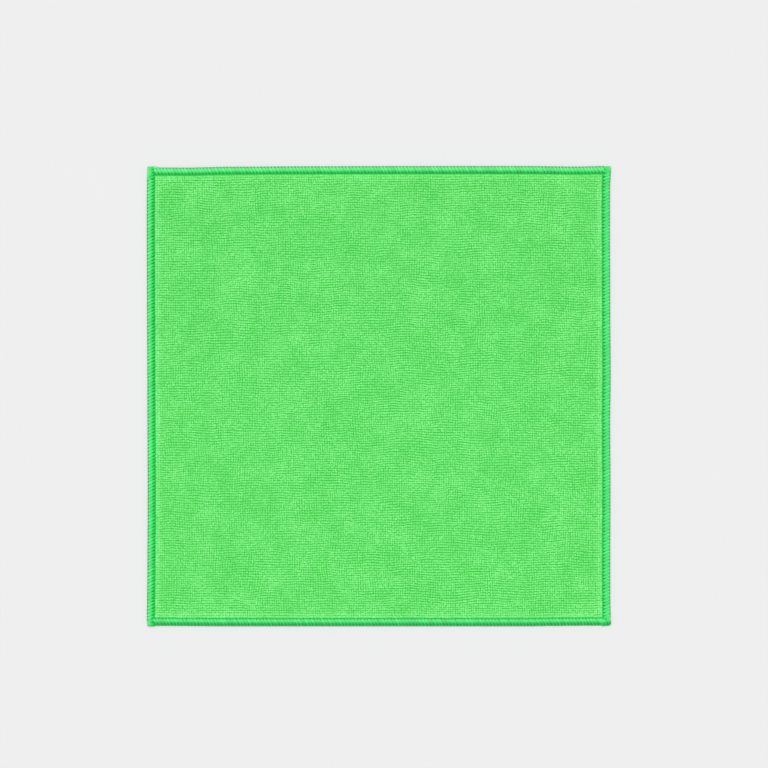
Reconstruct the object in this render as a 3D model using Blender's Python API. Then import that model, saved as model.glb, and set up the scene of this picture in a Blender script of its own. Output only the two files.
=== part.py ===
"""A square microfibre cleaning cloth with overlocked edges, lying flat.

Metres, +Z up. The cloth is looked down on with its top edge towards +Y. Its underside lies on
z = 0, and the origin is under its middle."""

from bisect import bisect
from collections import namedtuple
from math import cos, pi, radians, sin

import bmesh
import bpy

MM = 0.001

# Overall size, between the outer sides of the seams where they run straight
WIDTH = 400.0 * MM
LENGTH = 397.1 * MM

# The terry, with the pile of both faces
PILE_TOP = 2.4 * MM
GRID_CELLS = 24  # across the middle of the panel, each way
Ripple = namedtuple("Ripple", "length_x length_y turn height")
RIPPLES = (
    Ripple(length_x=155 * MM, length_y=230 * MM, turn=0.4, height=0.07 * MM),
    Ripple(length_x=-98 * MM, length_y=134 * MM, turn=1.9, height=0.05 * MM),
    Ripple(length_x=66 * MM, length_y=-89 * MM, turn=3.1, height=0.03 * MM),
)

# The seam: thread wrapped round the squeezed rim of the cloth
SEAM_WIDTH = 5.7 * MM
SEAM_HEIGHT = 3.0 * MM
SEAM_WIDEST_AT = 1.35 * MM  # height at which the roll is widest
SEAM_FULLNESS = 2.3  # 2 is an ellipse, more is squarer
SEAM_FOOT_RADIUS = 1.1 * MM  # how far the roll's underside is rounded in
SEAM_WALL = 1.2 * MM  # thread outside the cloth's cut edge
SEAM_STEPS = 26  # sections along a seam
CROWN_STEPS = 5  # points from the side of a section to its top
FOOT_ANGLES = (35, 90)  # degrees round each lower corner of a section
CLEARANCE = 0.3 * MM  # between pieces that touch

# The squeezed rim, which fills the middle of the seam
RIM_THICKNESS = 0.8 * MM
RIM_MIDDLE = 1.4 * MM  # height of its middle plane

# How the terry swells from the needle line to its full thickness
Shoulder = namedtuple("Shoulder", "inward top under")
SHOULDERS = (
    Shoulder(inward=0.45 * MM, top=1.95 * MM, under=0.50 * MM),
    Shoulder(inward=1.2 * MM, top=2.20 * MM, under=0.12 * MM),
    Shoulder(inward=2.5 * MM, top=2.33 * MM, under=0.0),
    Shoulder(inward=5.0 * MM, top=PILE_TOP, under=0.0),
)

# How far each edge strays outward, in mm, at places along it, in mm from its middle.
# Places run from bottom to top, or from left to right.
BOWS = {
    "left": {
        "place": (-195, -150, -90, 0, 95, 165, 190),
        "out": (0.40, 0.0, -0.30, 0.0, 0.35, 0.55, 0.25),
    },
    "right": {
        "place": (-193, -180, -145, -80, -20, 15, 80, 150, 188, 195),
        "out": (0.45, -0.10, -0.20, 0.05, -0.30, 0.20, -0.20, -0.45, -0.30, 0.55),
    },
    "top": {
        "place": (-185, -165, -130, -68, 0, 120, 174, 192),
        "out": (-1.25, -1.35, -0.60, -0.20, 0.0, 0.10, -0.45, 0.10),
    },
    "bottom": {
        "place": (-185, -130, 125, 165, 187),
        "out": (-0.20, 0.15, 0.15, -0.30, -0.40),
    },
}

# The left and right seams run on past the others and end in rounded nubs
Ends = namedtuple("Ends", "low high")
SIDE_ENDS = {
    "left": Ends(low=-198.6 * MM, high=198.1 * MM),
    "right": Ends(low=-198.3 * MM, high=198.7 * MM),
}
NUB_LENGTH = 1.8 * MM
NUB_STEPS = 4
NUB_TIP = 0.6  # size of the last section

TERRY_GREEN = (0.144, 0.753, 0.156)
THREAD_GREEN = (0.091, 0.783, 0.188)


def material(name, colour, roughness):
    made = bpy.data.materials.new(name)
    made.use_nodes = True
    shader = made.node_tree.nodes["Principled BSDF"]
    shader.inputs["Base Color"].default_value = (*colour, 1)
    shader.inputs["Roughness"].default_value = roughness
    shader.inputs["Metallic"].default_value = 0
    made.diffuse_color = (*colour, 1)
    return made


def between_rows(places, values, place):
    """The value at a place, easing from row to row and staying level past the ends."""
    after = bisect(places, place)
    if after == 0:
        return values[0]
    if after == len(places):
        return values[-1]
    share = (place - places[after - 1]) / (places[after] - places[after - 1])
    eased = share * share * (3 - 2 * share)
    return values[after - 1] + (values[after] - values[after - 1]) * eased


def stray(edge, along):
    bow = BOWS[edge]
    return between_rows(bow["place"], bow["out"], along / MM) * MM


def on_cloth(x, y):
    """Moves a point of the straight-edged rectangle with the edges that it lies between."""
    rightness, topness = 0.5 + x / WIDTH, 0.5 + y / LENGTH
    moved_x = x - stray("left", y) * (1 - rightness) + stray("right", y) * rightness
    moved_y = y - stray("bottom", x) * (1 - topness) + stray("top", x) * topness
    return moved_x, moved_y


def beside_edge(edge, along, inward):
    """(x, y) of a place along an edge, so far in from its outer side."""
    if edge in ("left", "right"):
        outer = WIDTH / 2 + stray(edge, along) - inward
        return (outer if edge == "right" else -outer), along
    outer = LENGTH / 2 + stray(edge, along) - inward
    return along, (outer if edge == "top" else -outer)


def finish(bm, name, look):
    """Turns the faces outward, shades them smooth and adds the object to the scene."""
    bmesh.ops.recalc_face_normals(bm, faces=bm.faces)
    mesh = bpy.data.meshes.new(name)
    bm.to_mesh(mesh)
    bm.free()
    mesh.materials.append(look)
    mesh.shade_smooth()
    mesh.set_sharp_from_angle(angle=radians(40))
    obj = bpy.data.objects.new(name, mesh)
    bpy.context.scene.collection.objects.link(obj)
    return obj


def grid_lines(half_size, borders):
    """Places across the cloth: the border lines at both sides, and even cells between them."""
    low = [-half_size + inset for inset in borders]
    step = (half_size - borders[-1]) * 2 / GRID_CELLS
    middle = [low[-1] + step * n for n in range(1, GRID_CELLS)]
    return low + middle + [-place for place in reversed(low)]


def thickness_at(inset):
    """(underside, top) of the terry, so far in from the seam's outer side."""
    rim = (RIM_MIDDLE - RIM_THICKNESS / 2, RIM_MIDDLE + RIM_THICKNESS / 2)
    needle_line = SEAM_WIDTH + CLEARANCE
    rows = [Shoulder(inward=0, top=rim[1], under=rim[0]), *SHOULDERS]
    under, top = rows[-1].under, rows[-1].top
    for outer, inner in zip(rows, rows[1:]):
        if inset <= needle_line + inner.inward:
            share = max(0, inset - needle_line - outer.inward) / (inner.inward - outer.inward)
            under = outer.under + (inner.under - outer.under) * share
            top = outer.top + (inner.top - outer.top) * share
            break
    return under, top


def ripple(x, y):
    return sum(
        wave.height * sin(2 * pi * (x / wave.length_x + y / wave.length_y) + wave.turn)
        for wave in RIPPLES
    )


def make_panel(look):
    """A double-faced slab whose rim is squeezed thin, flat where it lies and a little uneven above."""
    needle_line = SEAM_WIDTH + CLEARANCE
    borders = [SEAM_WALL + CLEARANCE, needle_line]
    borders += [needle_line + row.inward for row in SHOULDERS]
    across, along = grid_lines(WIDTH / 2, borders), grid_lines(LENGTH / 2, borders)
    bm = bmesh.new()
    tops, unders = [], []
    for y in along:
        tops.append([])
        unders.append([])
        for x in across:
            inset = min(WIDTH / 2 - abs(x), LENGTH / 2 - abs(y))
            under, top = thickness_at(inset)
            swell = (top - RIM_MIDDLE) / (PILE_TOP - RIM_MIDDLE) if inset > needle_line else 0
            place = on_cloth(x, y)
            tops[-1].append(bm.verts.new((*place, top + ripple(x, y) * swell)))
            unders[-1].append(bm.verts.new((*place, under)))
    rows, columns = len(along) - 1, len(across) - 1
    resting = []
    for r in range(rows):
        for c in range(columns):
            corners = ((r, c), (r, c + 1), (r + 1, c + 1), (r + 1, c))
            bm.faces.new([tops[i][j] for i, j in corners])
            lower = bm.faces.new([unders[i][j] for i, j in reversed(corners)])
            if all(vert.co.z == 0 for vert in lower.verts):
                resting.append(lower)
    cut_edge = [(0, c) for c in range(columns)] + [(r, columns) for r in range(rows)]
    cut_edge += [(rows, c) for c in range(columns, 0, -1)] + [(r, 0) for r in range(rows, 0, -1)]
    for (i, j), (k, m) in zip(cut_edge, cut_edge[1:] + cut_edge[:1]):
        bm.faces.new((unders[i][j], unders[k][m], tops[k][m], tops[i][j]))
    bmesh.ops.dissolve_faces(bm, faces=resting, use_verts=True)
    return finish(bm, "cloth_panel", look)


def seam_section():
    """[(inward from the outer side, height)] round a seam: a full crown over a flat foot."""
    outer_half = []
    for degrees in reversed(FOOT_ANGLES):
        turned_in = SEAM_FOOT_RADIUS * (1 - cos(radians(degrees)))
        outer_half.append((turned_in, SEAM_WIDEST_AT * (1 - sin(radians(degrees)))))
    for n in range(CROWN_STEPS):
        angle = pi / 2 * n / CROWN_STEPS
        nearness = cos(angle) ** (2 / SEAM_FULLNESS)
        rise = sin(angle) ** (2 / SEAM_FULLNESS)
        height = SEAM_WIDEST_AT + (SEAM_HEIGHT - SEAM_WIDEST_AT) * rise
        outer_half.append((SEAM_WIDTH / 2 * (1 - nearness), height))
    inner_half = [(SEAM_WIDTH - inward, height) for inward, height in reversed(outer_half)]
    return [*outer_half, (SEAM_WIDTH / 2, SEAM_HEIGHT), *inner_half]


def seam_stations(low, high, with_nubs):
    """[(place along the edge, size of the section)] from one end of a seam to the other."""
    inset = NUB_LENGTH if with_nubs else 0
    inner_low, inner_high = low + inset, high - inset
    step = (inner_high - inner_low) / SEAM_STEPS
    stations = [(inner_low + step * n, 1) for n in range(SEAM_STEPS + 1)]
    if with_nubs:
        rounding = []
        for n in range(1, NUB_STEPS + 1):
            angle = pi / 2 * n / NUB_STEPS
            size = NUB_TIP + (1 - NUB_TIP) * cos(angle)
            rounding.append((NUB_LENGTH * sin(angle), size))
        stations = [(inner_low - past, size) for past, size in reversed(rounding)] + stations
        stations += [(inner_high + past, size) for past, size in rounding]
    return stations


def make_seam(edge, low, high, with_nubs, slot, look):
    """A roll of wrapped thread along one edge, slotted for the squeezed rim of the cloth."""
    bm = bmesh.new()
    rings = []
    for along, size in seam_stations(low, high, with_nubs):
        ring = []
        for inward, height in seam_section():
            drawn_in = SEAM_WIDTH / 2 + (inward - SEAM_WIDTH / 2) * size
            ring.append(bm.verts.new((*beside_edge(edge, along, drawn_in), height * size)))
        rings.append(ring)
    for first, second in zip(rings, rings[1:]):
        for n in range(len(first)):
            after = (n + 1) % len(first)
            bm.faces.new((first[n], first[after], second[after], second[n]))
    bm.faces.new(rings[0])
    bm.faces.new(rings[-1])
    seam = finish(bm, "overlock_" + edge, look)
    cut = seam.modifiers.new("Rim slot", "BOOLEAN")
    cut.operation = "DIFFERENCE"
    cut.solver = "EXACT"
    cut.object = slot
    return seam


def make_slot_cutter(look):
    """The squeezed rim grown by the clearance, as one flat slab that every seam is cut by."""
    half_height = RIM_THICKNESS / 2 + CLEARANCE
    across = grid_lines(WIDTH / 2, [SEAM_WALL, SEAM_WIDTH])
    along = grid_lines(LENGTH / 2, [SEAM_WALL, SEAM_WIDTH])
    outline = [(x, along[0]) for x in across] + [(across[-1], y) for y in along[1:]]
    outline += [(x, along[-1]) for x in reversed(across[:-1])]
    outline += [(across[0], y) for y in reversed(along[1:-1])]
    bm = bmesh.new()
    floor = bm.faces.new([bm.verts.new((*on_cloth(*p), RIM_MIDDLE - half_height)) for p in outline])
    raised = bmesh.ops.extrude_face_region(bm, geom=[floor])["geom"]
    lifted = [part for part in raised if isinstance(part, bmesh.types.BMVert)]
    bmesh.ops.translate(bm, verts=lifted, vec=(0, 0, 2 * half_height))
    cutter = finish(bm, "rim_slot_cutter", look)
    cutter.hide_render = True
    cutter.display_type = "WIRE"
    return cutter


def inner_side(edge, along):
    """The x at which the seams across the top and bottom stop, clear of a side seam."""
    return beside_edge(edge, along, SEAM_WIDTH + CLEARANCE)[0]


def make_cloth():
    for obj in list(bpy.data.objects):
        bpy.data.objects.remove(obj, do_unlink=True)
    terry = material("Terry", TERRY_GREEN, 0.95)
    thread = material("Thread", THREAD_GREEN, 0.6)
    make_panel(terry)
    slot = make_slot_cutter(thread)
    for edge, ends in SIDE_ENDS.items():
        make_seam(edge, ends.low, ends.high, True, slot, thread)
    for edge, height in (("bottom", -LENGTH / 2), ("top", LENGTH / 2)):
        make_seam(edge, inner_side("left", height), inner_side("right", height), False, slot, thread)


make_cloth()
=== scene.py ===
from math import cos, pi, radians, sin

import bpy
import numpy as np
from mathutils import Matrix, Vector
from mathutils.bvhtree import BVHTree


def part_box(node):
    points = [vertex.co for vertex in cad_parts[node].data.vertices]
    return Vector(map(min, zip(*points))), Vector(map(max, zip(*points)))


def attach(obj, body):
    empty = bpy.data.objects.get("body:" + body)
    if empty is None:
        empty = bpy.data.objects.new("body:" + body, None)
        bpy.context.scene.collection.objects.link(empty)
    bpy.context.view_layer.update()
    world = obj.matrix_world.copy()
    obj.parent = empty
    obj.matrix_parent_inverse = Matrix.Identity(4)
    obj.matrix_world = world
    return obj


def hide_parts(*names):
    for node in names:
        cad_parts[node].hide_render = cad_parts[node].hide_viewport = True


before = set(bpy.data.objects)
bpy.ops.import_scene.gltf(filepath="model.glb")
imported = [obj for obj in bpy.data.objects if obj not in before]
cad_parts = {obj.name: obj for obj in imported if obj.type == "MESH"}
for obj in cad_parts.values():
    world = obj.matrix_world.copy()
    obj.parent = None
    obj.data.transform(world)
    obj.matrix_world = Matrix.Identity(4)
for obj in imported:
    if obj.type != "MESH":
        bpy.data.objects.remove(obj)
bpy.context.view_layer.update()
mm = 0.001
rootBody = "root"


# node helpers: maths as expressions, and one way to add any node


class Wire:
    def __init__(self, graph, socket):
        self.graph = graph
        self.socket = socket

    def combine(self, operation, first, second):
        return self.graph.add("ShaderNodeMath", {"operation": operation}, {0: first, 1: second})

    def __add__(self, other):
        return self.combine("ADD", self, other)

    def __radd__(self, other):
        return self.combine("ADD", other, self)

    def __sub__(self, other):
        return self.combine("SUBTRACT", self, other)

    def __rsub__(self, other):
        return self.combine("SUBTRACT", other, self)

    def __mul__(self, other):
        return self.combine("MULTIPLY", self, other)

    def __rmul__(self, other):
        return self.combine("MULTIPLY", other, self)

    def __rtruediv__(self, other):
        return self.combine("DIVIDE", other, self)


class Graph:
    def __init__(self, tree):
        self.tree = tree

    def add(self, kind, settings=None, values=None, output=0):
        node = self.tree.nodes.new(kind)
        for name, value in (settings or {}).items():
            setattr(node, name, value)
        for name, value in (values or {}).items():
            if isinstance(value, Wire):
                self.tree.links.new(value.socket, node.inputs[name])
            else:
                node.inputs[name].default_value = value
        return Wire(self, node.outputs[output]) if node.outputs else None

    def mixColour(self, factor, first, second, blend="MIX"):
        settings = {"data_type": "RGBA", "blend_type": blend, "clamp_result": False}
        return self.add("ShaderNodeMix", settings, {0: factor, 6: first, 7: second}, 2)

    def ease(self, value, low, high, toLow=0.0, toHigh=1.0):
        settings = {"interpolation_type": "SMOOTHSTEP"}
        values = {"Value": value, "From Min": low, "From Max": high, "To Min": toLow, "To Max": toHigh}
        return self.add("ShaderNodeMapRange", settings, values)

    def noise(self, vector, scale, detail=2.0, roughness=0.5):
        values = {"Vector": vector, "Scale": scale, "Detail": detail, "Roughness": roughness}
        return self.add("ShaderNodeTexNoise", {"noise_dimensions": "3D"}, values)

    def objectPlace(self):
        return self.add("ShaderNodeTexCoord", output=3)

    def painted(self, name, output=2):
        # an attribute of the mesh, read by a material
        settings = {"attribute_type": "GEOMETRY", "attribute_name": name}
        return self.add("ShaderNodeAttribute", settings, None, output)

    def bump(self, height, strength, depth):
        values = {"Height": height, "Strength": strength, "Distance": depth}
        return self.add("ShaderNodeBump", None, values)

    def wave(self, value):
        return self.add("ShaderNodeMath", {"operation": "SINE"}, {0: value})

    def vector(self, x, y, z):
        return self.add("ShaderNodeCombineXYZ", None, {0: x, 1: y, 2: z})

    def split(self, vector):
        node = self.add("ShaderNodeSeparateXYZ", None, {"Vector": vector}).socket.node
        return [Wire(self, output) for output in node.outputs]

    def vectorMaths(self, operation, first, second):
        return self.add("ShaderNodeVectorMath", {"operation": operation}, {0: first, 1: second})

    def named(self, name, kind="FLOAT"):
        # an attribute of the points, read by a Geometry Nodes tree
        return self.add("GeometryNodeInputNamedAttribute", {"data_type": kind}, {"Name": name})

    def store(self, geometry, name, value, domain, kind):
        values = {"Geometry": geometry, "Name": name, "Value": value}
        return self.add("GeometryNodeStoreNamedAttribute", {"domain": domain, "data_type": kind}, values)

    def vary(self, low, high, extra):
        # a number for each point or copy, by the tree's seed
        values = {2: low, 3: high, 8: self.seed + float(extra)}
        return self.add("FunctionNodeRandomValue", {"data_type": "FLOAT"}, values, 1)

    def copies(self, source, points, turn, scale, tone):
        # one copy of an object on each point, with a tone of its own
        settings = {"transform_space": "ORIGINAL"}
        shape = self.add("GeometryNodeObjectInfo", settings, {"Object": source}, 4)
        values = {"Points": points, "Instance": shape, "Rotation": turn, "Scale": scale}
        laid = self.add("GeometryNodeInstanceOnPoints", None, values)
        return self.store(laid, "tone", tone, "INSTANCE", "FLOAT")

    def end(self, geometry, spares, material):
        for name in spares:
            values = {"Geometry": geometry, "Name": name}
            geometry = self.add("GeometryNodeRemoveAttribute", None, values)
        geometry = self.add("GeometryNodeSetShadeSmooth", None, {"Geometry": geometry})
        values = {"Geometry": geometry, "Material": material}
        geometry = self.add("GeometryNodeSetMaterial", None, values)
        self.add("NodeGroupOutput", None, {"Geometry": geometry})


def newMaterial(name):
    material = bpy.data.materials.new(name)
    material.use_nodes = True
    material.node_tree.nodes.clear()
    return material, Graph(material.node_tree)


def finishWith(graph, values):
    shader = graph.add("ShaderNodeBsdfPrincipled", None, values)
    graph.add("ShaderNodeOutputMaterial", None, {"Surface": shader})


def opaque(colour):
    return (*colour, 1.0)


def newObject(name, data):
    made = bpy.data.objects.new(name, data)
    bpy.context.scene.collection.objects.link(made)
    return made


# camera, lights and floor

studio = {
    "lens": 100.0,
    "sensor": 36.0,
    "viewWidth": 662.6 * mm,  # across the picture, at the height of the pile
    "viewCentre": (4.4 * mm, 10.44 * mm),
    "pileHeight": 2.4 * mm,
    "skyStrength": 0.53,
    "horizonStrength": 0.85,
    "horizonRise": (0.02, 0.30),  # between these heights, as sines, it gives way to the sky
    "lampStrength": 2.12,  # watts on each square metre that faces it
    "lampSoftness": 42.0,  # degrees across
    "lampFrom": (-0.10, 0.6, 1.6),
    "floorColour": (0.74, 0.74, 0.745),
    "floorMottle": 0.985,  # how bright its dimmest places are, as a share
    "mottlePerMetre": 9.0,
    "floorRoughness": 0.9,
    "floorSize": 80.0,
    "floorDrop": 0.2 * mm,
}


def makeCamera():
    data = bpy.data.cameras.new("camera")
    data.lens = studio["lens"]
    data.sensor_width = studio["sensor"]
    data.clip_start = 10 * mm
    camera = newObject("camera", data)
    distance = studio["viewWidth"] * studio["lens"] / studio["sensor"]
    camera.location = (*studio["viewCentre"], distance + studio["pileHeight"])
    bpy.context.scene.camera = camera


def makeLights():
    world = bpy.data.worlds.new("studio")
    world.use_nodes = True
    world.node_tree.nodes.clear()
    graph = Graph(world.node_tree)
    rise = graph.split(graph.add("ShaderNodeTexCoord"))[2]
    light = graph.ease(rise, *studio["horizonRise"], studio["horizonStrength"], studio["skyStrength"])
    sky = graph.add("ShaderNodeBackground", None, {"Color": opaque((1.0, 1.0, 1.0)), "Strength": light})
    graph.add("ShaderNodeOutputWorld", None, {"Surface": sky})
    bpy.context.scene.world = world
    data = bpy.data.lights.new("softbox", "SUN")
    data.energy = studio["lampStrength"]
    data.angle = radians(studio["lampSoftness"])
    softbox = newObject("softbox", data)
    softbox.rotation_euler = Vector(studio["lampFrom"]).to_track_quat("Z", "Y").to_euler()


def makeFloor():
    half = studio["floorSize"] / 2
    mesh = bpy.data.meshes.new("floor")
    corners = [(-half, -half), (half, -half), (half, half), (-half, half)]
    mesh.from_pydata([(x, y, -studio["floorDrop"]) for x, y in corners], [], [(0, 1, 2, 3)])
    floor = newObject("floor", mesh)
    material, graph = newMaterial("floor")
    mottle = graph.noise(graph.objectPlace(), studio["mottlePerMetre"])
    dim = [studio["floorMottle"] * c for c in studio["floorColour"]]
    colour = graph.mixColour(mottle, opaque(dim), opaque(studio["floorColour"]))
    finishWith(graph, {"Base Color": colour, "Roughness": studio["floorRoughness"]})
    mesh.materials.append(material)


bpy.context.scene.view_settings.view_transform = "Standard"
makeCamera()
makeLights()
makeFloor()
print("studio: camera, sky, softbox and floor are made")


# what the CAD says: where the panel's outline and the seams run

seamShape = {
    "width": 5.7 * mm,
    "height": 3.0 * mm,
    "fullness": 1.8,  # 2 is an ellipse, and less is more domed
}
# the thread's own section in each seam
plainSeam = {
    "crest": 0.0,  # how far out of the middle it lies
    "outerAt": 0.95 * mm,  # the height at which each side is widest
    "innerAt": 0.95 * mm,
    "needleReach": 0.95 * mm,  # how far past the seam's inner side a stitch goes down
    "needleDepth": 1.20 * mm,  # and at what height
    "full": 1.0,  # how wide the strands are
    "standsOut": 0.0,  # past the CAD's seam
}
seamForms = {
    "overlock_left": plainSeam,
    "overlock_right": {**plainSeam, "needleReach": 1.15 * mm},
    "overlock_top": {
        **plainSeam, "crest": -0.4 * mm, "outerAt": 0.85 * mm, "needleReach": 0.80 * mm,
        "full": 1.08, "standsOut": 0.2 * mm,
    },
    "overlock_bottom": {
        "crest": -1.45 * mm, "outerAt": 0.60 * mm, "innerAt": 1.2 * mm, "needleReach": 1.1 * mm,
        "needleDepth": 1.35 * mm, "full": 1.14, "standsOut": 0.15 * mm,
    },
}
# where along a stitch, from the needle line at 0 to the edge at 1, the thread takes which place in the
# colours across the seam, and how deep its painted shade is; and both again round the core, at coreTurns.
# Together they paint each seam's light and shade: a dark needle groove and dark gaps, a paler lit side,
# and each seam lighter or darker by how the light falls on it
seamTints = {
    "overlock_left": {
        "ways": (-0.22, 0.02, 0.10, 0.30, 0.50, 0.58, 0.66, 0.72, 1.2),
        "across": (-0.10, 0.01, 0.08, 0.25, 0.45, 0.56, 0.70, 0.84, 1.2),
        "shaded": (0.0, 0.20, 0.06, 0, 0, 0, 0, 0, 0),
        "core": (-0.35, -0.22, 0.08, -0.02, -0.27, -0.27, 0.50),
        "coreShaded": (0.2, 0.2, 0, 0, 0, 0, 0),
    },
    "overlock_right": {
        "ways": (-0.22, 0.0, 0.10, 0.20, 0.30, 0.50, 0.70, 0.90, 1.2),
        "across": (-0.02, 0.17, 0.30, 0.35, 0.36, 0.37, 0.70, 0.90, 1.2),
        "shaded": (0.04, 0.33, 0.10, 0, 0.02, 0.20, 0.15, 0.02, 0),
        "core": (-0.35, -0.16, 0.20, 0.06, -0.24, -0.27, 0.50),
        "coreShaded": (0, 0, 0, 0, 0, 0, 0),
    },
    "overlock_top": {
        "ways": (-0.22, 0.06, 0.20, 0.38, 0.54, 0.66, 1.0),
        "across": (-0.05, 0.03, 0.17, 0.40, 0.60, 0.76, 1.02),
        "shaded": (0.0, 0.2, 0.08, 0.02, 0.02, 0.22, 0.36),
        "core": (-0.35, -0.22, 0.08, 0.02, -0.20, -0.20, 0.50),
        "coreShaded": (0, 0, 0, 0, 0, 0, 0),
    },
    # its outer half is painted shade where it turns down away from the light, and its rim a painted sheen
    "overlock_bottom": {
        "ways": (-0.22, 0.0, 0.15, 0.35, 0.5, 0.7, 0.85, 0.93, 1.0),
        "across": (-0.17, 0.04, 0.42, 0.60, 0.42, 0.20, 0.38, 1.0, 1.0),
        "shaded": (0.04, 0.16, 0.05, 0.0, 0.15, 0.60, 0.54, 0.0, 0.0),
        "core": (-0.35, -0.22, 0.08, -0.16, -0.18, 0.55, 0.90),
        "coreShaded": (0.45, 0.45, 0.25, 0.7, 0.8, 0.1, 0.0),
    },
}
# node: (direction of travel, clockwise seen from above, and the way out of the cloth)
seamSides = {
    "overlock_left": ((0, 1, 0), (-1, 0, 0)),
    "overlock_right": ((0, -1, 0), (1, 0, 0)),
    "overlock_top": ((1, 0, 0), (0, 1, 0)),
    "overlock_bottom": ((-1, 0, 0), (0, -1, 0)),
}
sideSeams = ("overlock_left", "overlock_right")


# how the CAD's surfaces are read, along lines that start clear of them
reading = {
    "outside": 0.3,
    "above": 10 * mm,
    "seamHeight": 1.35 * mm,  # where the CAD's seams are widest
    "seamSteps": 130,
    "seamEnd": 3 * mm,  # of each seam, where its section changes and the steps are closer
    "endSteps": 10,
    "endInset": 0.12 * mm,
    "rimHeight": 1.4 * mm,  # half way up the panel's rim
    "rimSteps": 81,
}
sideSpan = 0.194  # half of each side of the panel, but for its corners


def treeOf(node):
    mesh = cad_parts[node].data
    corners = [v.co.copy() for v in mesh.vertices]
    return BVHTree.FromPolygons(corners, [tuple(p.vertices) for p in mesh.polygons])


def reach(tree, start, direction):
    # how far out from the middle of the cloth a surface lies on one line
    far = reading["outside"]
    hit = tree.ray_cast(start + direction * far, -direction, far)[0]
    return (hit - start).dot(direction)


def placesAlong(low, high):
    # close together over both ends of a seam, and even between them
    end = reading["seamEnd"]
    close = np.linspace(0, end, reading["endSteps"])
    even = np.linspace(low + end, high - end, reading["seamSteps"])
    return np.concatenate([low + close[:-1], even, high - close[-2::-1]])


def followSeam(node):
    # x and y of the seam's middle and its size as a share, along its direction of travel
    along, outward = (Vector(v) for v in seamSides[node])
    up = Vector((0, 0, 1))
    above, inset = reading["above"], reading["endInset"]
    tree = treeOf(node)
    ends = sorted(corner.dot(along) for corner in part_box(node))
    path = []
    for place in placesAlong(ends[0] + inset, ends[1] - inset):
        start = along * float(place)
        out = reach(tree, start + up * reading["seamHeight"], outward)
        out += seamForms[node]["standsOut"]
        size = 1.0
        for _ in range(3):  # the size moves the middle, where the size is read again
            middle = start + outward * (out - size * seamShape["width"] / 2)
            top = tree.ray_cast(middle + up * above, -up, 2 * above)[0]
            size = min(1.0, top.z / seamShape["height"])
        middle = start + outward * (out - size * seamShape["width"] / 2)
        path.append((*middle.to_2d(), size))
    return np.array(path)


seamPaths = {node: followSeam(node) for node in seamSides}
panelTree = treeOf("cloth_panel")
panelLow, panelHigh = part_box("cloth_panel")


def panelEdge(along, outward):
    rim = Vector((0, 0, reading["rimHeight"]))
    places = np.linspace(-sideSpan, sideSpan, reading["rimSteps"])
    reaches = [reach(panelTree, Vector(along) * float(p) + rim, Vector(outward)) for p in places]
    return places, np.array(reaches)


edgeLines = {
    "left": panelEdge((0, 1, 0), (-1, 0, 0)),
    "right": panelEdge((0, 1, 0), (1, 0, 0)),
    "bottom": panelEdge((1, 0, 0), (0, -1, 0)),
    "top": panelEdge((1, 0, 0), (0, 1, 0)),
}


def edgeReach(side, place):
    places, reaches = edgeLines[side]
    return np.interp(place, places, reaches)


def onPanel(u, v):
    # u and v from 0 to 1 across the panel, to x and y within its bowed outline
    roughX = (u - 0.5) * 2 * sideSpan
    roughY = (v - 0.5) * 2 * sideSpan
    x = -edgeReach("left", roughY) * (1 - u) + edgeReach("right", roughY) * u
    y = -edgeReach("bottom", roughX) * (1 - v) + edgeReach("top", roughX) * v
    return x, y


print("outline: the panel's edges and the seams' paths are read from the CAD nodes")


# the finishes, and the knit's pitch, which the tufts share

knit = {"rowPitch": 2.07 * mm, "columnPitch": 1.95 * mm}
terryFinish = {
    # the roots' darker green is partly the fibres' own colour and partly painted shade low in the pile
    "tip": (0.172, 0.790, 0.184),
    "root": (0.040, 0.540, 0.054),
    # paler beside the seams: a painted sheen on the pressed tufts
    "besideSheen": (0.260, 0.880, 0.292),
    "rootHeight": 1.1 * mm,
    "tipHeight": 2.35 * mm,
    "blotchSize": 28 * mm,
    "blotchDepth": 0.10,
    "tuftDepth": 0.04,
    "fleckSize": 1.0 * mm,
    "fleckDepth": 0.21,
    "fibreSize": 0.22 * mm,
    "fibreDepth": 0.05 * mm,
    "roughness": 0.92,
    "sheen": 0.10,
    "lustre": 0.15,
}
groundFinish = {
    "line": (0.004, 0.365, 0.060),  # painted shade beside the seams, in the groove where the needle thread goes in
    "raised": 0.45,  # how near to the tips' colour the highest loops come
    "rowShare": 0.18,
    "columnShare": 0.14,
    "mottleShare": 0.6,
    "mottleSize": 0.9 * mm,
    "knitDepth": 0.3 * mm,
    "roughness": 0.95,
    "lustre": 0.1,
}
threadFinish = {
    # the green across the seam, from the needle line out to the edge: darker towards the needle line as
    # painted shade in its groove, paler towards the edge as a painted sheen
    "needle": (0.002, 0.330, 0.016),
    "inner": (0.017, 0.690, 0.097),
    "crown": (0.087, 0.757, 0.207),
    "edge": (0.226, 0.735, 0.315),
    # where across the seam each of the last three starts and is full
    "innerFrom": (-0.26, -0.04),
    "crownFrom": (0.12, 0.50),
    "edgeFrom": (0.45, 0.80),
    "roughness": 0.46,
    "sheen": 0.08,
    "lustre": 0.28,
    "fibreDepth": 0.05 * mm,
    "fibreTone": 0.30,
    "toneDepth": 0.12,
    "shadeDepth": 0.52,
}


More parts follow.
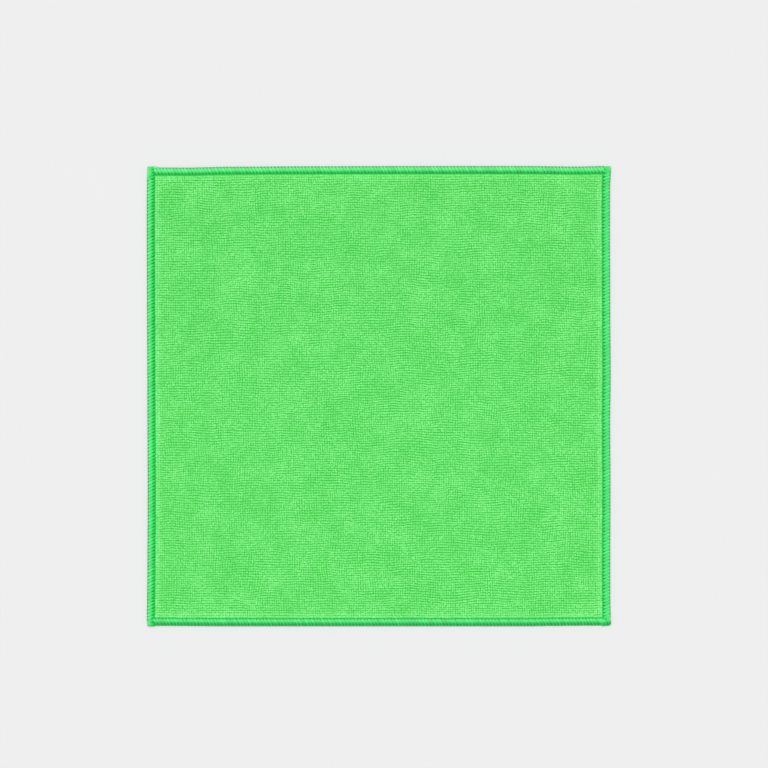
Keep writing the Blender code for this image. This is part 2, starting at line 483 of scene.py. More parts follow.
def makeTerry():
    f = terryFinish
    material, graph = newMaterial("terry pile")
    place = graph.objectPlace()
    rise = graph.ease(graph.split(place)[2], f["rootHeight"], f["tipHeight"])
    # darker towards the roots: partly the fibres' own colour, partly painted shade
    body = graph.mixColour(rise, opaque(f["root"]), opaque(f["tip"]))
    # a painted sheen on the tufts beside the seams
    body = graph.mixColour(graph.painted("beside") * rise, body, opaque(f["besideSheen"]))
    tone = graph.painted("tone")
    blotch = graph.noise(place, 1 / f["blotchSize"], 2.0, 0.55)
    fleck = graph.noise(place, 1 / f["fleckSize"], 1.0, 0.5)
    shade = 1.0 + (blotch - 0.5) * (2 * f["blotchDepth"]) + (tone - 0.5) * (2 * f["tuftDepth"])
    shade = shade + (fleck - 0.5) * (2 * f["fleckDepth"])
    deep = shade * shade * shade  # what is darker is also a purer green
    fibre = graph.noise(place, 1 / f["fibreSize"], 2.0, 0.6)
    finishWith(graph, {
        "Base Color": graph.mixColour(1.0, body, graph.vector(deep, shade, deep), "MULTIPLY"),
        "Roughness": f["roughness"],
        "Sheen Weight": f["sheen"],
        "Specular IOR Level": f["lustre"],
        "Normal": graph.bump(fibre, 0.6, f["fibreDepth"]),
    })
    return material


def makeGround():
    f, g = terryFinish, groundFinish
    material, graph = newMaterial("terry ground")
    place = graph.objectPlace()
    x, y = graph.split(place)[:2]
    rows = graph.wave(y * (2 * pi / knit["rowPitch"]))
    columns = graph.wave(x * (2 * pi / knit["columnPitch"]))
    mottle = graph.noise(place, 1 / g["mottleSize"], 3.0, 0.6)
    loops = 0.5 + rows * g["rowShare"] + columns * g["columnShare"] + (mottle - 0.5) * g["mottleShare"]
    # the low loops take the roots' colour, with its painted shade
    raised = [a + g["raised"] * (b - a) for a, b in zip(f["root"], f["tip"])]
    colour = graph.mixColour(loops, opaque(f["root"]), opaque(raised))
    finishWith(graph, {
        # painted shade in the groove at the needle line
        "Base Color": graph.mixColour(graph.painted("grooveShade"), colour, opaque(g["line"])),
        "Roughness": g["roughness"],
        "Specular IOR Level": g["lustre"],
        "Normal": graph.bump(loops, 0.7, g["knitDepth"]),
    })
    return material


def makeThread():
    f = threadFinish
    material, graph = newMaterial("overlock thread")
    tone = graph.painted("tone")
    across = graph.painted("across")
    # painted shade towards the needle line and painted sheen towards the edge, by each point's place
    # across the seam
    body = opaque(f["needle"])
    for part in ("inner", "crown", "edge"):
        body = graph.mixColour(graph.ease(across, *f[part + "From"]), body, opaque(f[part]))
    fibres = graph.noise(graph.painted("twist", 1), 1.0, 2.0, 0.6)
    shade = 1.0 + (tone - 0.5) * (2 * f["toneDepth"]) + (fibres - 0.5) * f["fibreTone"]
    # and darker by each point's painted shade
    shade = shade * (1.0 - graph.painted("shaded") * f["shadeDepth"])
    finishWith(graph, {
        "Base Color": graph.mixColour(1.0, body, graph.vector(shade, shade, shade), "MULTIPLY"),
        "Roughness": f["roughness"],
        "Sheen Weight": f["sheen"],
        "Specular IOR Level": f["lustre"],
        "Normal": graph.bump(fibres, 0.7, f["fibreDepth"]),
    })
    return material


terryMaterial = makeTerry()
groundMaterial = makeGround()
threadMaterial = makeThread()
print("materials: terry pile, terry ground and overlock thread are made")


def meshObject(name, points, faces, material=None, edges=()):
    mesh = bpy.data.meshes.new(name)
    mesh.from_pydata([tuple(p) for p in points], edges, faces)
    if material is not None:
        mesh.materials.append(material)
    mesh.polygons.foreach_set("use_smooth", [True] * len(mesh.polygons))
    mesh.update()
    return newObject(name, mesh)


def addFloats(mesh, name, values, domain="POINT", kind="FLOAT"):
    layer = mesh.attributes.new(name, kind, domain)
    field = "value" if kind == "FLOAT" else "vector"
    layer.data.foreach_set(field, np.asarray(values, np.float32).ravel())


def plainMesh(carrier, name):
    # the modifiers' result as a plain mesh on a new object at the origin
    graph = bpy.context.evaluated_depsgraph_get()
    mesh = bpy.data.meshes.new_from_object(carrier.evaluated_get(graph), depsgraph=graph)
    mesh.name = name
    old = carrier.data
    bpy.data.objects.remove(carrier)
    bpy.data.meshes.remove(old)
    return newObject(name, mesh)


def setInputs(modifier, values):
    items = modifier.node_group.interface.items_tree
    sockets = {item.name: item.identifier for item in items if item.item_type == "SOCKET"}
    for name, value in values.items():
        modifier[sockets[name]] = value


def newTree(name, inputs):
    tree = bpy.data.node_groups.new(name, "GeometryNodeTree")
    for label, kind in {"Geometry": "Geometry", **inputs}.items():
        tree.interface.new_socket(label, in_out="INPUT", socket_type="NodeSocket" + kind)
    tree.interface.new_socket("Geometry", in_out="OUTPUT", socket_type="NodeSocketGeometry")
    graph = Graph(tree)
    entry = tree.nodes.new("NodeGroupInput")
    given = {socket.name: Wire(graph, socket) for socket in entry.outputs if socket.name}
    graph.seed = given["Seed"]
    return tree, graph, given


# the knitted ground: one closed sheet under the pile

ground = {
    "cells": 90,  # each way, away from the rim
    "rimSteps": (0.0, 1.8, 3.2, 4.2, 5.0, 5.6, 6.3, 7.2, 8.4),  # mm in from the edge
    # from the edge inwards: the rim inside the seam, the groove at the needle line, the field
    "across": (0.0, 2.4 * mm, 4.2 * mm, 5.5 * mm, 7.4 * mm),
    "top": (1.75 * mm, 1.75 * mm, 1.20 * mm, 1.20 * mm, 1.45 * mm),
    "under": (1.05 * mm, 1.05 * mm, 0.45 * mm, 0.20 * mm, 0.0),
    "needleLine": (3.4 * mm, 4.3 * mm, 5.6 * mm),  # where the painted shade in the groove starts, ends and is gone
    "endsGrooveShade": 0.75,  # how dark that painted shade is along the top and bottom seams
}


def inwardOf(x, y, borders=None, sides=("left", "right", "bottom", "top")):
    # how far in from the nearest of these edges of the panel, or from a border along it
    within = {
        "left": x + edgeReach("left", y), "right": edgeReach("right", y) - x,
        "bottom": y + edgeReach("bottom", x), "top": edgeReach("top", x) - y,
    }
    return np.minimum.reduce([within[side] - (borders[side] if borders else 0) for side in sides])


def makeGroundSheet():
    g = ground
    rim = np.array(g["rimSteps"]) * mm / (2 * sideSpan)
    middle = np.linspace(rim[-1], 1 - rim[-1], g["cells"] + 1)
    t = np.concatenate([rim[:-1], middle, 1 - rim[-2::-1]])
    n = len(t) - 1
    u, v = np.meshgrid(t, t)
    x, y = onPanel(u, v)
    inward = inwardOf(x, y)
    levels = [np.interp(inward, g["across"], g[face]) for face in ("top", "under")]
    points = np.vstack([np.stack([x, y, z], -1).reshape(-1, 3) for z in levels])
    count = (n + 1) ** 2
    faces = []
    for j in range(n):
        for i in range(n):
            a = j * (n + 1) + i
            b, c, d = a + 1, a + n + 2, a + n + 1
            faces.append((a, b, c, d))
            faces.append((count + a, count + d, count + c, count + b))
    ring = list(range(n + 1))
    ring += [j * (n + 1) + n for j in range(1, n + 1)]
    ring += [n * (n + 1) + i for i in range(n - 1, -1, -1)]
    ring += [j * (n + 1) for j in range(n - 1, 0, -1)]
    for a, b in zip(ring, ring[1:] + ring[:1]):
        faces.append((count + a, count + b, b, a))
    sheet = meshObject("cloth_ground", points, faces, groundMaterial)
    # painted shade along the groove at the needle line, lighter along the top and bottom seams
    start, end, faded = g["needleLine"]
    near = np.interp(inward.ravel(), [start, end, faded], [1.0, 1.0, 0.0])
    atEnds = (inwardOf(x, y, sides=["bottom", "top"]) <= inward).ravel()
    near[atEnds] *= g["endsGrooveShade"]
    addFloats(sheet.data, "grooveShade", np.concatenate([near, near]))
    return sheet


groundSheet = makeGroundSheet()
print("ground: the knitted sheet has", len(groundSheet.data.polygons), "faces")


# the terry pile: tufts in rows and columns

pile = {
    # from each edge of the panel to the first tufts
    "inset": {"left": 5.8 * mm, "right": 6.0 * mm, "bottom": 5.75 * mm, "top": 5.8 * mm},
    "footHeight": 1.25 * mm,
    "tipHeight": 2.40 * mm,
    "halfWidth": 1.10 * mm,
    "halfLength": 0.995 * mm,
    "drift": 1.7 * mm,  # how far the rows and columns wander
    "driftSize": 38 * mm,
    "driftRise": 14 * mm,  # from the first tufts inwards to where they wander freely
    "spread": 0.19,  # how far patches favour rows or columns
    "unevenSize": 0.16,
    "unevenHeight": 0.15,
    "jitter": 0.23 * mm,
    "lean": 0.12,
    "leanUneven": 0.4,
    "turn": 0.3,  # radians
    "patchSize": 13 * mm,
    "patchMiddle": 0.47,
    "patchContrast": 4.0,
    "bands": 5,
    "seed": 11,
    "besideWidth": 5.4 * mm,  # in from the first tufts, which the seams press even and wide
    "besideCalm": 0.6,
    "besideFull": 0.2,
    "besideShare": {"bottom": 0.95, "top": 0.68},  # how much of it there is along these seams
    # how the tufts grow from the needle line inwards
    "rampAt": (0.0, 1.0 * mm, 3.0 * mm, 5.0 * mm),
    "ramp": (0.38, 0.52, 0.84, 1.0),
}


# one lobe, about 1 across and 1 high, with its crest over its foot and shoulder
tuftShape = {
    "sides": 6,
    "rings": ((0.80, 0.0, 0.46), (1.0, 0.70, 0.30)),  # radius, height, and radius in its UV cell
}


def makeTuft():
    sides = tuftShape["sides"]
    points, faces, flat = [], [], []
    for radius, height, spot in tuftShape["rings"]:
        for k in range(sides):
            angle = 2 * pi * (k + 0.5) / sides
            points.append((radius * cos(angle), radius * sin(angle), height))
            flat.append((0.5 + spot * cos(angle), 0.5 + spot * sin(angle)))
    points.append((0.0, 0.0, 1.0))
    flat.append((0.5, 0.5))
    for k in range(sides):
        after = (k + 1) % sides
        faces.append((k, after, sides + after, sides + k))
        faces.append((sides + k, sides + after, 2 * sides))
    tuft = meshObject("tuft", points, faces)
    for edge in tuft.data.edges:  # a crisp shoulder, so that the crest is shaded by its own slope
        edge.use_edge_sharp = all(sides <= v < 2 * sides for v in edge.vertices)
    corners = [flat[loop.vertex_index] for loop in tuft.data.loops]
    addFloats(tuft.data, "flat", corners, "CORNER", "FLOAT2")
    tuft.hide_render = True
    return tuft


def makePileTree():
    p = pile
    tree, graph, given = newTree("terry pile", {
        "Tuft": "Object", "Half width": "Float", "Half length": "Float", "Height": "Float",
        "Row or column": "Float", "Uneven size": "Float", "Uneven height": "Float", "Jitter": "Float",
        "Lean": "Float", "Patch size": "Float", "Drift": "Float", "Drift size": "Float",
        "Cells": "Float", "Seed": "Int", "Material": "Material",
    })

    vary = graph.vary

    def patch(offset, size):
        place = graph.add("GeometryNodeInputPosition")
        return graph.noise(graph.vectorMaths("ADD", place, offset), 1.0 / size, 2.0, 0.5)

    def lean(offset, extra):
        own = vary(-p["leanUneven"], p["leanUneven"], extra)
        return (patch(offset, given["Patch size"]) - 0.5 + own) * given["Lean"]

    free = graph.named("free") * given["Drift"] * p["patchContrast"]

    def drift(offset, extra):
        own = vary(-1.0, 1.0, extra) * given["Jitter"]
        return (patch(offset, given["Drift size"]) - 0.5) * free + own

    beside = graph.named("beside")
    calm = 1.0 - beside * p["besideCalm"]
    full = 1.0 + beside * p["besideFull"]
    favour = (patch((0.0, 0.0, 0.0), given["Patch size"]) - p["patchMiddle"]) * p["patchContrast"]
    favour = graph.add("ShaderNodeClamp", None, {0: favour, 1: -1.0, 2: 1.0})
    favour = favour * given["Row or column"]
    uneven = given["Uneven size"]
    wide = given["Half width"] * full * (1.0 + (favour + vary(-1.0, 1.0, 1) * uneven) * calm)
    long = given["Half length"] * full * (1.0 + (vary(-1.0, 1.0, 2) * uneven - favour) * calm)
    short = vary(0.0, 1.0, 3) * vary(0.0, 1.0, 4) * given["Uneven height"]
    tall = given["Height"] * graph.named("low") * (1.0 - short)
    offset = graph.vector(drift((7.0, 0.0, 0.0), 7), drift((0.0, 7.0, 0.0), 8), 0.0)
    spin = vary(-p["turn"], p["turn"], 9)
    angles = graph.vector(lean((3.0, 0.0, 0.0), 5), lean((0.0, 3.0, 0.0), 6), spin)
    placed = graph.add("GeometryNodeSetPosition", None, {"Geometry": given["Geometry"], "Offset": offset})
    turn = graph.add("FunctionNodeEulerToRotation", None, {0: angles})
    tufts = graph.copies(given["Tuft"], placed, turn, graph.vector(wide, long, tall), vary(0.0, 1.0, 10))
    joined = graph.add("GeometryNodeRealizeInstances", None, {"Geometry": tufts})
    # each tuft has a cell of the UV map for itself
    cell, flat = (graph.named(name, "FLOAT_VECTOR") for name in ("cell", "flat"))
    cells = graph.vector(given["Cells"], given["Cells"], given["Cells"])
    spot = graph.vectorMaths("DIVIDE", graph.vectorMaths("ADD", cell, flat), cells)
    mapped = graph.store(joined, "OFBake", spot, "CORNER", "FLOAT2")
    graph.end(mapped, ("cell", "flat", "low", "free"), given["Material"])
    return tree


def tuftRoots():
    p = pile
    counts, shares = [], []
    for size, pitch, low, high in (
        (panelHigh.x - panelLow.x, knit["columnPitch"], "left", "right"),
        (panelHigh.y - panelLow.y, knit["rowPitch"], "bottom", "top"),
    ):
        free = size - p["inset"][low] - p["inset"][high]
        count = round(free / pitch)
        counts.append(count)
        shares.append((p["inset"][low] + free * (np.arange(count) + 0.5) / count) / size)
    return *counts, *shares


def makePile():
    p = pile
    columns, rows, u, v = tuftRoots()
    tuft = makeTuft()
    tree = makePileTree()
    made = []
    for band, chosen in enumerate(np.array_split(v, p["bands"])):
        gridU, gridV = np.meshgrid(u, chosen)
        x, y = (a.ravel() for a in onPanel(gridU, gridV))
        inward = inwardOf(x, y, p["inset"])
        count = len(x)
        points = np.stack([x, y, np.full(count, p["footHeight"])], -1)
        carrier = meshObject(f"roots{band}", points, [])
        beside = np.clip(1 - inward / p["besideWidth"], 0, 1)
        beside = beside * beside * (3 - 2 * beside)
        for side, share in p["besideShare"].items():
            beside[inwardOf(x, y, p["inset"], (side,)) <= inward] *= share
        addFloats(carrier.data, "beside", beside)
        addFloats(carrier.data, "low", np.interp(inward, p["rampAt"], p["ramp"]))
        addFloats(carrier.data, "free", np.clip(inward / p["driftRise"], 0, 1))
        cells = int(np.ceil(np.sqrt(count)))
        order = np.arange(count)
        places = np.stack([order % cells, order // cells, 0 * order], -1)
        addFloats(carrier.data, "cell", places, kind="FLOAT_VECTOR")
        modifier = carrier.modifiers.new("pile", "NODES")
        modifier.node_group = tree
        setInputs(modifier, {
            "Tuft": tuft, "Half width": p["halfWidth"], "Half length": p["halfLength"],
            "Height": p["tipHeight"] - p["footHeight"], "Row or column": p["spread"],
            "Uneven size": p["unevenSize"], "Uneven height": p["unevenHeight"], "Jitter": p["jitter"],
            "Lean": p["lean"], "Patch size": p["patchSize"], "Drift": p["drift"],
            "Drift size": p["driftSize"], "Cells": float(cells),
            "Seed": p["seed"] + 20 * band, "Material": terryMaterial,
        })
        made.append(plainMesh(carrier, f"pile_{band + 1}"))
    bpy.data.objects.remove(tuft)
    print("pile:", rows, "rows of", columns, "tufts in", len(made), "bands")
    return made


pileBands = makePile()


# the overlock seams: a core, and two strands over it for each stitch

stitch = {
    "pitch": 2.9 * mm,
    "slant": 3.0 * mm,  # how far the outer end lies behind the inner end
    "upright": 9.0 * mm,  # the last of each side seam, where the slant is lost
    # along a stitch, from the needle line at 0 to the edge at 1: half the way between its two
    # strands and how thick they are, in mm
    "ways": (-0.1, 0.1, 0.40, 0.60, 0.68, 0.80, 0.98, 1.3),
    "spread": (0.28, 0.40, 0.60, 0.50, 0.39, 0.22, 0.14, 0.40),
    "radius": (0.50, 0.64, 0.78, 0.70, 0.60, 0.48, 0.40, 0.50),
    "rings": (-0.22, -0.08, 0.06, 0.20, 0.38, 0.54, 0.66, 0.79, 0.96, 1.20, 1.46),  # of its mesh
    "sides": 5,
    "flattened": (1.06, 0.9),  # its width and height, as shares of round
    "coreShare": 0.80,
    "coreEdgeShare": 0.96,
    "coreTurns": (0, 36, 82, 118, 142, 190, 260),  # round the core, from its inner side
    "coreStep": 24,  # degrees
    "corePerMetre": 900,  # the fibres' scale on it
    "stops": 160,  # along each seam
    "uneven": 0.07,
    "inset": 1.45 * mm,  # from the end of a seam to its first stitch
    "crossed": 8.1 * mm,  # of the right seam's lower end, where the bottom seam's stitches run over it
    "crossingIn": 1.95 * mm,  # from the right seam's outer side to the first of them
    "crossingPitch": 3.3 * mm,
    "crossingOut": (0.0, 0.50 * mm, 0.50 * mm),  # how far out of the bottom seam's line each is
    "crossingUpright": (1.0, 0.6, 0.2),
    "crossingEnds": (0.30 * mm, 7.5 * mm),  # of its core, from the right seam's outer side
    "crossingSteps": 12,
    "crossingTip": 0.7,  # how full the core is at its tip, and where it is at its fullest
    "crossingFull": 1.6 * mm,
    "crossingCoreOut": 0.6,  # how far it follows the stitches out
    "coreCut": 3.0 * mm,  # of the right seam's core, under the crossing
    "seed": 5,
}


def sectionPoint(turn, inset, form):
    # turn 0 is the inner side, 90 the crown, 180 the outer side and 270 the underside
    s = seamShape
    angle = radians(turn)
    power = 2 / s["fullness"]
    halfWidth = s["width"] / 2 - inset
    across = -cos(angle)
    rise = sin(angle)
    crest = form["crest"] if rise >= 0 else 0.0
    side = 1 if across > 0 else -1
    widestAt = form["outerAt"] if side > 0 else form["innerAt"]
    y = crest + (side * halfWidth - crest) * abs(across) ** power
    if rise >= 0:
        z = widestAt + (s["height"] - widestAt - inset) * rise**power
    else:
        z = widestAt - (widestAt - inset) * abs(rise) ** 0.9
    return y, z


def fibreSpot(k, n, sides, own):
    # where the fibres' noise is read: they wind round a thread, and own makes it unlike the others
    roundThread, windingPerRing, alongPerRing = 2.6, 0.4, 0.55
    return (k * roundThread / sides + n * windingPerRing, n * alongPerRing, own)


def tubeFaces(rings, sides, clockwise=False):
    # the wall between rings of points, and a cap on each end
    faces = []
    for n in range(rings - 1):
        for k in range(sides):
            a, b = n * sides + k, n * sides + (k + 1) % sides
            faces.append((a, a + sides, b + sides, b) if clockwise else (a, b, b + sides, a + sides))
    near, far = range(sides), range((rings - 1) * sides, rings * sides)
    caps = (near, reversed(far)) if clockwise else (reversed(near), far)
    return faces + [tuple(cap) for cap in caps]


def runAt(spots, n):
    # which way a thread runs at one of its spots
    return (spots[min(n + 1, len(spots) - 1)] - spots[max(n - 1, 0)]).normalized()


def makeStrand(name, side, node):
    # along x, outward y, up z: from below the needle line, over the crown and back underneath
    s = stitch
    form, tint = seamForms[node], seamTints[node]
    power = 2 / seamShape["fullness"]
    deep, crest, sides = form["needleDepth"], form["crest"], s["sides"]
    innerWidth = seamShape["width"] / 2 + form["needleReach"] + crest
    spots, radii = [], []
    for way in s["rings"]:
        thick = np.interp(way, s["ways"], s["radius"]) * mm
        y, z = sectionPoint(180 * way, thick, form)
        if way < 0.5:  # from the crown down to the needle line, beyond the seam's own section
            down = pi / 2 * (0.5 - way) / (0.5 - s["rings"][0])
            y = crest - innerWidth * sin(down) ** power
            z = deep + (seamShape["height"] - thick - deep) * max(0.0, cos(down)) ** power
        back = s["slant"] * (0.5 - min(max(way, 0), 1))
        back += side * np.interp(way, s["ways"], s["spread"]) * mm
        back += s["slant"] * max(way - 1, 0)
        spots.append(Vector((back, y, z)))
        radii.append(float(thick))
    points, twist = [], []
    for n, spot in enumerate(spots):
        run = runAt(spots, n)
        sideways = (Vector((1, 0, 0)) - run * run.x).normalized()
        normal = run.cross(sideways)
        wide, high = s["flattened"]
        for k in range(sides):
            angle = 2 * pi * k / sides
            points.append(spot + (sideways * cos(angle) * wide + normal * sin(angle) * high) * radii[n])
            twist.append(fibreSpot(k, n, sides, side * 3.0))
    made = meshObject(name, points, tubeFaces(len(spots), sides))
    ways = np.repeat(s["rings"], sides)
    addFloats(made.data, "across", np.interp(ways, tint["ways"], tint["across"]))
    addFloats(made.data, "shaded", np.interp(ways, tint["ways"], tint["shaded"]))
    addFloats(made.data, "way", ways)
    addFloats(made.data, "twist", twist, kind="FLOAT_VECTOR")
    made.hide_render = True
    return made


def makeSeamTree():
    tree, graph, given = newTree("overlock seam", {
        "Front strand": "Object", "Back strand": "Object", "Stitch pitch": "Float", "Uneven": "Float",
        "Slant": "Vector", "Full": "Float", "Seed": "Int", "Material": "Material",
    })

    vary = graph.vary
    path = graph.add("GeometryNodeMeshToCurve", None, {"Mesh": given["Geometry"]})
    values = {"Curve": path, "Length": given["Stitch pitch"]}
    stations = graph.add("GeometryNodeResampleCurve", {"mode": "LENGTH"}, values)
    values = {"Vector": graph.add("GeometryNodeInputTangent")}
    turn = graph.add("FunctionNodeAlignRotationToVector", {"axis": "X", "pivot_axis": "Z"}, values)
    size = graph.named("size")
    joined = tree.nodes.new("GeometryNodeJoinGeometry")
    for n, name in enumerate(("Front strand", "Back strand")):
        long = (1.0 + vary(-1.0, 1.0, 10 * n + 1) * given["Uneven"]) * given["Full"]
        tall = size * (1.0 - vary(0.0, 1.0, 10 * n + 2) * given["Uneven"])
        scale = graph.vector(long, size, tall)
        laid = graph.copies(given[name], stations, turn, scale, vary(0.0, 1.0, 10 * n + 3))
        tree.links.new(laid.socket, joined.inputs[0])
    solid = graph.add("GeometryNodeRealizeInstances", None, {"Geometry": Wire(graph, joined.outputs[0])})
    # by the corners the stitches stand square to the seam: each point moves back along its slant
    way = graph.add("ShaderNodeClamp", None, {0: graph.named("way"), 1: 0.0, 2: 1.0})
    values = {0: given["Slant"], 3: (way - 0.5) * graph.named("upright")}
    shift = graph.add("ShaderNodeVectorMath", {"operation": "SCALE"}, values)
    solid = graph.add("GeometryNodeSetPosition", None, {"Geometry": solid, "Offset": shift})
    graph.end(solid, ("size", "upright", "way"), given["Material"])
    return tree


def tube(name, spots, radii, across, tone, shaded):
    # a closed thread through the spots, and how far each of them lies in the shade
    sides = 6
    points, twist = [], []
    for n, spot in enumerate(spots):
        run = runAt(spots, n)
        level = run.cross(Vector((0, 0, 1)))
        level = level.normalized() if level.length > 0.01 else Vector((1, 0, 0))
        upward = level.cross(run)
        for k in range(sides):
            angle = 2 * pi * k / sides
            points.append(spot + (level * cos(angle) + upward * sin(angle)) * float(radii[n]))
            twist.append(fibreSpot(k, n, sides, tone * 9))
    made = meshObject(name, points, tubeFaces(len(spots), sides), threadMaterial)
    addFloats(made.data, "across", np.full(len(points), across))
    addFloats(made.data, "shaded", np.repeat(shaded, sides))
    addFloats(made.data, "tone", np.full(len(points), tone))
    addFloats(made.data, "twist", twist, kind="FLOAT_VECTOR")
    return made


def travel(node, path):
    # how far along in the seam's direction of travel each place of its path lies
    along = Vector(seamSides[node][0])
    return path[:, 0] * along.x + path[:, 1] * along.y


def alongPath(node, path, distance):
    # the middle of the seam and its size, this far along
    x, y, size = (float(np.interp(distance, travel(node, path), path[:, k])) for k in range(3))
    return Vector((x, y, 0)), size


tail = {
    "length": 2.8 * mm,
    "turns": (14, 50, 88, 124, 160, 194),  # where round the seam the threads lie
    "radius": 0.74 * mm,
    "steps": 9,
    "stagger": (0.9, 1.25),  # of the length
    "sway": 8,  # degrees round the seam, either way
    "startTurn": 10,  # degrees further round, where they start
    "swell": 0.25,  # how much thinner they are where they start and near their ends
    "swellRate": 1.3,
    "narrowed": 0.45,  # how much of their thickness goes with the seam's size
    "shadeFrom": 0.5,  # where on their way the shade starts, and where they start to drop and taper
    "endFrom": 0.8,
    "endDrop": 0.45,
    "endTaper": 0.35,
    "endGap": 0.35 * mm,  # from the tip of a seam to its threads' ends
    "endShaded": 0.0,  # how far those ends lie in the shade
    "tones": (0.2, 0.9),
    # where round the seam they take which place in the colours across it: painted shade on the inner
    # side, painted sheen on the outer side
    "colourTurns": (0, 60, 110, 170),
    "colours": (-0.02, 0.16, 0.50, 0.80),
    # the upper left corner ends in a longer chain of threads over the last stitches, and the lower
    # right corner's threads end under the bottom seam's stitches
    "others": {
        ("overlock_left", 1): {
            "length": 9.0 * mm, "turns": (58, 84, 110, 136, 164, 192), "endGap": -0.25 * mm,
        },
        ("overlock_left", -1): {"endShaded": 0.85},
        ("overlock_right", 1): {"length": 5.0 * mm, "endGap": 3.0 * mm},
    },
}
# threads that run on from a side seam's end along the outer side of the seam across it
tuck = {
    "radius": 0.55 * mm,
    "steps": 7,
    # seam and end (1 is the last in the direction of travel): how far in the threads reach, how much
    # further out than the rest they lie, their place in the colours across the seam and their shade
    "ends": {
        ("overlock_left", 1): (8.6 * mm, 0.70 * mm, 0.62, 0.0),
        ("overlock_left", -1): (6.8 * mm, 0.35 * mm, 0.20, 0.85),
        ("overlock_right", -1): (6.0 * mm, 0.0, 0.62, 0.0),
    },
    # each thread: how far in from the end it starts and finishes, and its height
    "threads": ((0.65 * mm, 1.75 * mm, 1.30 * mm), (1.45 * mm, 2.3 * mm, 1.95 * mm)),
    "startIn": 1.2 * mm,
    "tipHalf": 1.0 * mm,  # half the width of a side seam's tip
    "bend": 4,  # the higher, the later they turn in
    "sink": 0.25,  # of their height, on the way
    "swell": 0.3,
    "tone": 0.75,
}


def makeTail(node, path, finish):
    # the loose end of a side seam, where the threads bunch and run along it; finish is 1 or -1
    t = {**tail, **tail["others"].get((node, finish), {})}
    outward = Vector(seamSides[node][1])
    tip = travel(node, path)[-1 if finish > 0 else 0]
    shares = np.linspace(0, 1, t["steps"])
    shaded = np.interp(shares, [t["shadeFrom"], 1], [0, t["endShaded"]])
    draw = np.random.default_rng(stitch["seed"] + len(node) + finish)
    made = []
    for k, turn in enumerate(t["turns"]):
        spots, radii = [], []
        sway = draw.uniform(-t["sway"], t["sway"])
        start = draw.uniform(*t["stagger"])
        for share in shares:
            distance = tip - finish * (t["endGap"] + t["length"] * start * (1 - share))
            middle, size = alongPath(node, path, distance)
            thick = t["radius"] * (1 - t["narrowed"] * (1 - size))
            thick *= 1 - t["swell"] * (1 - sin(pi * min(1, share * t["swellRate"])))
            lies = turn + sway * sin(pi * share) + t["startTurn"] * (1 - share)
            y, z = sectionPoint(lies, thick, seamForms[node])
            end = max(0.0, share - t["endFrom"]) / (1 - t["endFrom"])
            level = z * size * (1 - t["endDrop"] * end)
            spots.append(middle + outward * y * size + Vector((0, 0, level)))
            radii.append(thick * (1 - t["endTaper"] * end))
        across = np.interp(turn, t["colourTurns"], t["colours"])
        made.append(tube(f"tail{k}", spots, radii, across, float(draw.uniform(*t["tones"])), shaded))
    return made + makeTucks(node, path, finish)


def makeTucks(node, path, finish):
    t = tuck
    if (node, finish) not in t["ends"]:
        return []
    reachIn, further, across, shaded = t["ends"][node, finish]
    along, outward = (Vector(v) for v in seamSides[node])
    tip = path[-1 if finish > 0 else 0]
    end = Vector((tip[0], tip[1], 0))
    made = []
    for k, (start, last, height) in enumerate(t["threads"]):
        spots, radii = [], []
        for share in np.linspace(0, 1, t["steps"]):
            inward = t["startIn"] + (reachIn - t["startIn"]) * share - t["tipHalf"]
            back = start + (last - start) * share ** t["bend"] - further
            level = height * (1 - t["sink"] * share * share)
            spots.append(end - outward * inward - along * (finish * back) + Vector((0, 0, level)))
            radii.append(t["radius"] * (1 - t["swell"] * (1 - sin(pi * share))))
        made.append(tube(f"tuck{k}", spots, radii, across, t["tone"], [shaded] * t["steps"]))
    return made


def makeCore(node, path):
    s = stitch
    form, tint = seamForms[node], seamTints[node]
    middle = form["outerAt"]
    outward = Vector(seamSides[node][1])
    turns = range(0, 360, s["coreStep"])
    points = []
    for x, y, size in path:
        for turn in turns:
            out, up = sectionPoint(turn, 0.0, form)
            share = np.interp(out, [0, seamShape["width"] / 2], [s["coreShare"], s["coreEdgeShare"]])
            up = middle + (up - middle) * s["coreShare"]
            points.append(Vector((x, y, up * size)) + outward * (out * share * size))
    faces = tubeFaces(len(path), len(turns), clockwise=True)
    core = meshObject(f"core_{node}", points, faces, threadMaterial)
    # its colours paint the shade in the gaps between the stitches, where it shows
    for name, colours in (("across", "core"), ("shaded", "coreShaded")):
        addFloats(core.data, name, np.tile(np.interp(turns, s["coreTurns"], tint[colours]), len(path)))
    addFloats(core.data, "tone", np.full(len(points), 0.5))
    addFloats(core.data, "twist", np.array(points) * s["corePerMetre"], kind="FLOAT_VECTOR")
    return core


def joinInto(name, parts):
    first = parts[0]
    with bpy.context.temp_override(
        active_object=first, object=first, selected_objects=parts, selected_editable_objects=parts
    ):
        bpy.ops.object.join()
    first.name = name
    first.data.name = name
    return first


def layStitches(name, spots, sizes, uprights, tree, values):
    # stitches along a line of spots, as one plain mesh
    carrier = meshObject("path", spots, [], edges=[(k, k + 1) for k in range(len(spots) - 1)])
    addFloats(carrier.data, "size", sizes)
    addFloats(carrier.data, "upright", uprights)
    modifier = carrier.modifiers.new("stitches", "NODES")
    modifier.node_group = tree
    setInputs(modifier, values)
    return plainMesh(carrier, name)


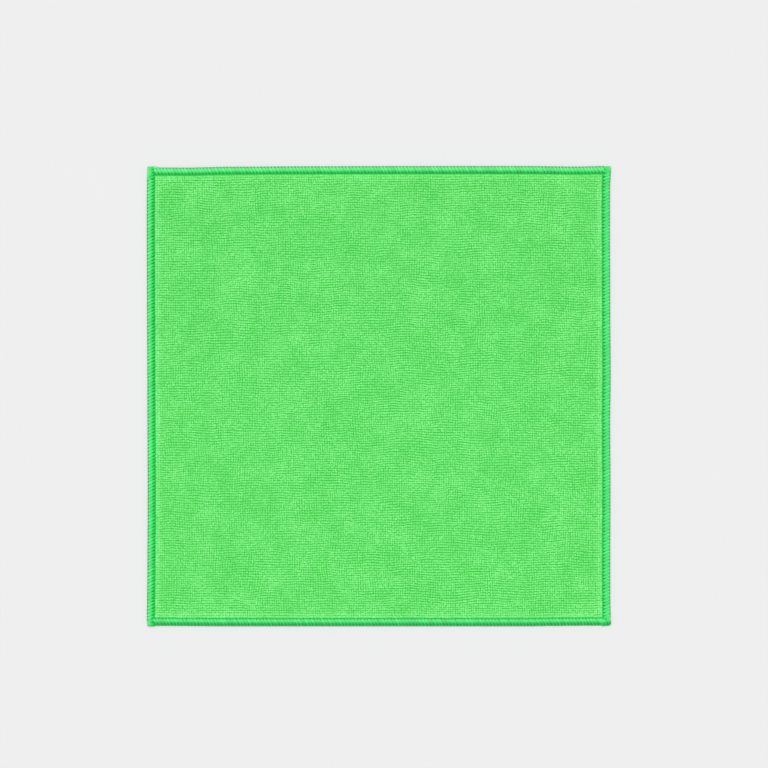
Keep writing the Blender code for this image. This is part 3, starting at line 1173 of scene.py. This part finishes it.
def makeSeams():
    s = stitch
    tree = makeSeamTree()
    shared = {"Stitch pitch": s["pitch"], "Uneven": s["uneven"], "Material": threadMaterial}
    strands = {
        node: {
            "Front strand": makeStrand("strandFront", 1, node),
            "Back strand": makeStrand("strandBack", -1, node),
            "Full": form["full"],
        }
        for node, form in seamForms.items()
    }
    made = {}
    for n, (node, path) in enumerate(seamPaths.items()):
        isSide = node in sideSeams
        slant = Vector(seamSides[node][0]) * s["slant"]
        places = travel(node, path)
        crossed, cut = (s["crossed"], s["coreCut"]) if node == "overlock_right" else (s["inset"], 0.0)
        run = np.linspace(places[0] + s["inset"], places[-1] - crossed, s["stops"])
        spots, sizes = zip(*(alongPath(node, path, distance) for distance in run))
        fromEnd = np.minimum(run - places[0], places[-1] - run)
        uprights = np.clip(1 - fromEnd / s["upright"], 0, 1) * isSide
        values = {**shared, **strands[node], "Slant": slant, "Seed": s["seed"] + n}
        parts = [layStitches(f"stitches_{node}", spots, sizes, uprights, tree, values)]
        parts.append(makeCore(node, path[places <= places[-1] - cut]))
        if isSide:
            parts += makeTail(node, path, 1) + makeTail(node, path, -1)
        if node == "overlock_right":
            parts += crossCorner(tree, {**shared, **strands["overlock_bottom"]})
        made[node] = joinInto(node.replace("overlock", "seam"), parts)
    for pair in strands.values():
        bpy.data.objects.remove(pair["Front strand"])
        bpy.data.objects.remove(pair["Back strand"])
    print("seams:", {seam.name: len(seam.data.polygons) for seam in made.values()})
    return made


def crossCorner(tree, shared):
    # the bottom seam was sewn on over the lower right corner
    s = stitch
    node = "overlock_bottom"
    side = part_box("overlock_right")[1].x
    y = seamPaths[node][0][1]
    outs = s["crossingOut"]
    ins = [s["crossingIn"] + n * s["crossingPitch"] for n in range(len(outs))]
    spots = [(side - inward, y - out, 0) for inward, out in zip(ins, outs)]
    slant = Vector(seamSides[node][0]) * s["slant"]
    values = {**shared, "Stitch pitch": s["crossingPitch"], "Slant": slant, "Seed": s["seed"] + 9}
    stitches = layStitches("crossing", spots, [1] * len(spots), s["crossingUpright"], tree, values)
    places = np.linspace(*s["crossingEnds"], s["crossingSteps"])
    coreOuts = s["crossingCoreOut"] * np.interp(places, ins, outs)
    sizes = np.interp(places, [0, s["crossingFull"]], [s["crossingTip"], 1.0])
    return [stitches, makeCore(node, np.stack([side - places, y - coreOuts, sizes], -1))]


seams = makeSeams()


# what each piece rides on; the CAD parts they take the place of are hidden

for piece in [groundSheet, *pileBands]:
    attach(piece, rootBody)
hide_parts("cloth_panel")
for node, seam in seams.items():
    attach(seam, rootBody)
    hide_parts(node)
